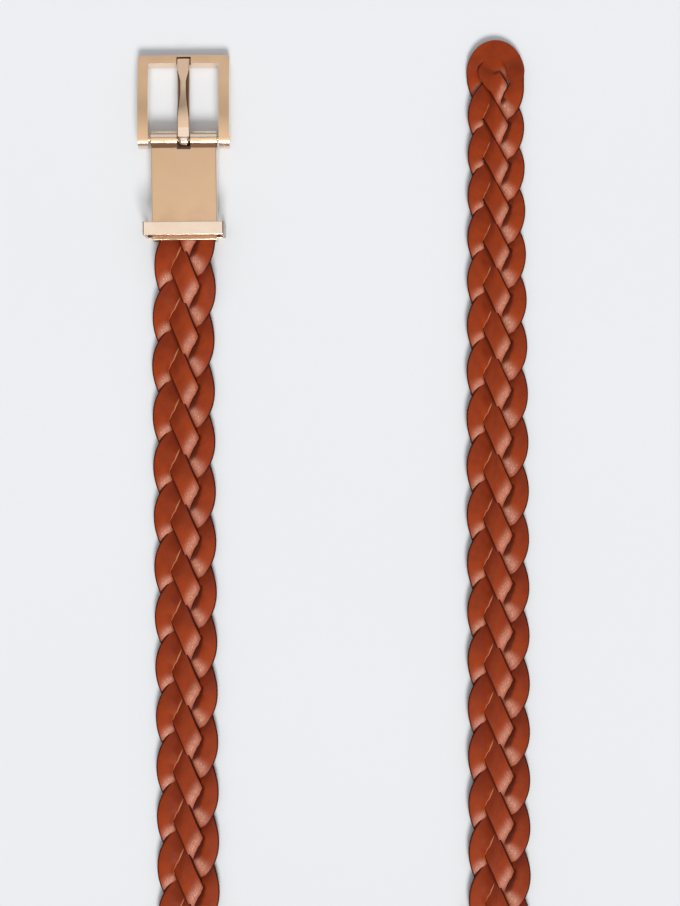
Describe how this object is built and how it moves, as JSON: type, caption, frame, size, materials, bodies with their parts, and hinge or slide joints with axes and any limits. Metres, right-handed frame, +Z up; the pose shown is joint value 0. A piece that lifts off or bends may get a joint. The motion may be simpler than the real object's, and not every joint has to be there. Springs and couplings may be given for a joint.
{
  "type": "plaited leather belt with pin buckle",
  "caption": "Flat plaited leather belt with a round solid tip, a bowed pin buckle on a clamp, and a sliding metal keeper, laid in a U on a surface.",
  "frame": {"origin": "centre of the belt's outline, on the surface that it lies on", "axes": "+Y along the two legs towards the buckle, +X from the buckle's leg to the tip's leg, +Z up out of the strap's face"},
  "size_m": [0.1772, 0.5318, 0.0281],
  "materials": {
    "strap_leather": "cognac, fine grain, slightly glossy, edges stained darker",
    "backing_leather": "unfinished split leather",
    "satin_metal": "satin champagne plating",
    "polished_metal": "polished champagne plating",
    "screw_metal": "plated, slotted"
  },
  "bodies": {
    "root": {"strap_tip": "strap_leather", "strand_1": "strap_leather", "strand_2": "strap_leather", "strand_3": "strap_leather", "strand_4": "strap_leather", "strap_end_tab": "backing_leather", "clamp_shell": "satin_metal", "clamp_back_plate": "satin_metal", "clamp_screw_left": "screw_metal", "clamp_screw_right": "screw_metal"},
    "frame": {"buckle_frame": "satin_metal", "hinge_pin": "polished_metal"},
    "prong": {"prong": "polished_metal"},
    "keeper": {"keeper_loop": "polished_metal"}
  },
  "joints": [
    {"name": "frame_swing", "type": "hinge", "parent": "root", "child": "frame", "pos_m": [-0.0678, 0.22008, 0.0052], "axis": [1, 0, 0], "range_deg": [-60, 20]},
    {"name": "prong_swing", "type": "hinge", "parent": "frame", "child": "prong", "pos_m": [-0.0678, 0.22008, 0.0052], "axis": [1, 0, 0], "range_deg": [0, 70]},
    {"name": "keeper_slide", "type": "slide", "parent": "root", "child": "keeper", "axis": [0, 1, 0], "range_m": [0, 0.022]}
  ]
}
